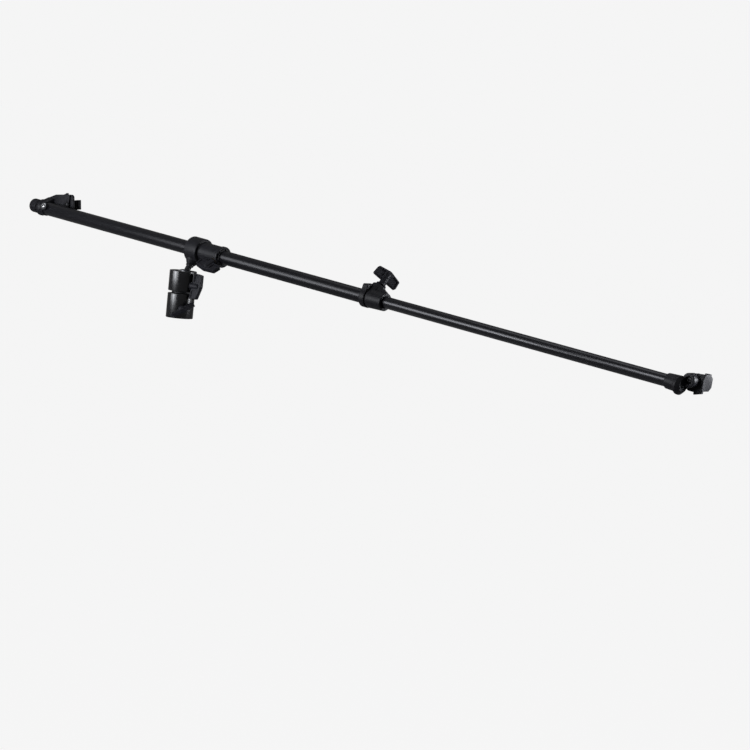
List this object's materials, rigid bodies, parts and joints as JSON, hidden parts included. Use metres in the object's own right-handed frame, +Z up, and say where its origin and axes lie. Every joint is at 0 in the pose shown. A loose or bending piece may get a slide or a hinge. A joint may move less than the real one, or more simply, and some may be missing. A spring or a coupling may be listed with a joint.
{
  "type": "reflector holder arm",
  "caption": "Telescopic arm on a lockable ball head with a stand socket; a sprung clip at each end grips the rim of a round reflector.",
  "frame": {"origin": "centre of the mouth of the socket for the stand's stud, on the lower barrel's bottom face", "axes": "+Z up along the barrels; +X level under the arm towards its thin end; the clips hang on the +Y side"},
  "size_m": [1.1513, 0.0877, 0.1401],
  "materials": {
    "barrel": "gloss",
    "tube": "black anodised, satin",
    "knob": "matte",
    "moulding": "satin",
    "steel": "plated",
    "brass": "machined",
    "nylon": "natural",
    "rubber": "matte"
  },
  "bodies": {
    "receiver": {"receiver_barrel": "barrel", "pan_washer": "nylon"},
    "receiver_lock": {"receiver_lock_screw": "steel", "receiver_lock_knob": "knob"},
    "housing": {"ball_housing": "barrel", "pan_bolt": "steel", "ball_seat": "nylon"},
    "ball_lock": {"ball_lock_screw": "steel", "ball_lock_knob": "knob"},
    "ball_body": {"ball": "steel"},
    "stem": {"ball_stem": "steel", "stem_screw": "steel"},
    "clamp": {"clamp_body": "moulding", "clamp_insert": "brass"},
    "clamp_lock": {"clamp_screw": "steel", "clamp_knob": "knob"},
    "liner": {"clamp_liner": "nylon"},
    "thick_tube": {"outer_tube": "tube", "left_end_cap": "moulding", "left_clip_bracket": "moulding", "left_band_screw": "steel", "collar_body": "moulding", "collar_insert": "brass", "collar_pad": "nylon"},
    "collar_lock": {"collar_screw": "steel", "collar_knob": "knob"},
    "plug": {"guide_plug": "nylon"},
    "thin_tube": {"inner_tube": "tube", "right_end_sleeve": "moulding"},
    "left_clip": {"left_clip_jaw": "moulding", "left_clip_pin": "steel", "left_clip_spring": "steel", "left_clip_front_pad": "rubber", "left_clip_screw": "steel", "left_clip_nut": "steel"},
    "left_flap": {"left_clip_flap": "moulding", "left_clip_flap_pad": "rubber"},
    "right_clip": {"right_clip_jaw": "moulding", "right_clip_pin": "steel", "right_clip_spring": "steel", "right_clip_front_pad": "rubber", "right_clip_screw": "steel", "right_clip_nut": "steel"},
    "right_flap": {"right_clip_flap": "moulding", "right_clip_flap_pad": "rubber"}
  },
  "joints": [
    {"name": "receiver_lock_turn", "type": "hinge", "parent": "receiver", "child": "receiver_lock", "pos_m": [0, 0, 0.0126], "axis": [0.8007, -0.599, 0], "range_deg": [-180, 180]},
    {"name": "head_pan", "type": "hinge", "parent": "receiver", "child": "housing", "pos_m": [0, 0, 0.0336], "axis": [0, 0, 1], "continuous": true},
    {"name": "ball_lock_turn", "type": "hinge", "parent": "housing", "child": "ball_lock", "pos_m": [0, 0, 0.0435], "axis": [1, 0, 0], "range_deg": [-180, 180]},
    {"name": "ball_side_tilt", "type": "hinge", "parent": "housing", "child": "ball_body", "pos_m": [0, 0, 0.052], "axis": [0, 1, 0], "range_deg": [-25, 15]},
    {"name": "ball_lean", "type": "hinge", "parent": "ball_body", "child": "stem", "pos_m": [0, 0, 0.052], "axis": [0.9961, 0, -0.0885], "range_deg": [-6, 36]},
    {"name": "stem_spin", "type": "hinge", "parent": "stem", "child": "clamp", "pos_m": [0, 0, 0.052], "axis": [0.0785, 0.4633, 0.8827], "range_deg": [-25, 25]},
    {"name": "clamp_lock_turn", "type": "hinge", "parent": "clamp", "child": "clamp_lock", "pos_m": [0.04715, 0.0196, 0.08544], "axis": [-0.0456, -0.8572, -0.513], "range_deg": [-15, 15]},
    {"name": "arm_roll", "type": "hinge", "parent": "clamp", "child": "liner", "pos_m": [0.00332, 0.0196, 0.08934], "axis": [0.9961, 0, -0.0885], "continuous": true},
    {"name": "arm_slide", "type": "slide", "parent": "liner", "child": "thick_tube", "axis": [0.9961, 0, -0.0885], "range_m": [-0.2, 0.2]},
    {"name": "collar_lock_turn", "type": "hinge", "parent": "thick_tube", "child": "collar_lock", "pos_m": [0.31639, 0.0196, 0.06151], "axis": [0.0688, 0.6293, 0.7741], "range_deg": [-180, 180]},
    {"name": "inner_slide", "type": "slide", "parent": "thick_tube", "child": "plug", "axis": [0.9961, 0, -0.0885], "range_m": [-0.43, 0.04]},
    {"name": "inner_twist", "type": "hinge", "parent": "plug", "child": "thin_tube", "pos_m": [0.78324, 0.0196, 0.02001], "axis": [0.9961, 0, -0.0885], "continuous": true},
    {"name": "left_clip_swivel", "type": "hinge", "parent": "thick_tube", "child": "left_clip", "pos_m": [-0.26863, 0.0196, 0.12456], "axis": [0, 1, 0], "continuous": true},
    {"name": "left_flap_open", "type": "hinge", "parent": "left_clip", "child": "left_flap", "pos_m": [-0.27495, 0.0462, 0.12356], "axis": [-0.1551, 0, 0.9879], "range_deg": [0, 35], "stiffness_Nm_per_rad": 0.06, "springref_deg": -20.05},
    {"name": "right_clip_swivel", "type": "hinge", "parent": "thin_tube", "child": "right_clip", "pos_m": [0.81041, 0.0196, 0.02412], "axis": [0, 1, 0], "continuous": true},
    {"name": "right_flap_open", "type": "hinge", "parent": "right_clip", "child": "right_flap", "pos_m": [0.81679, 0.0462, 0.02355], "axis": [-0.0885, 0, -0.9961], "range_deg": [0, 35], "stiffness_Nm_per_rad": 0.06, "springref_deg": -20.05}
  ]
}
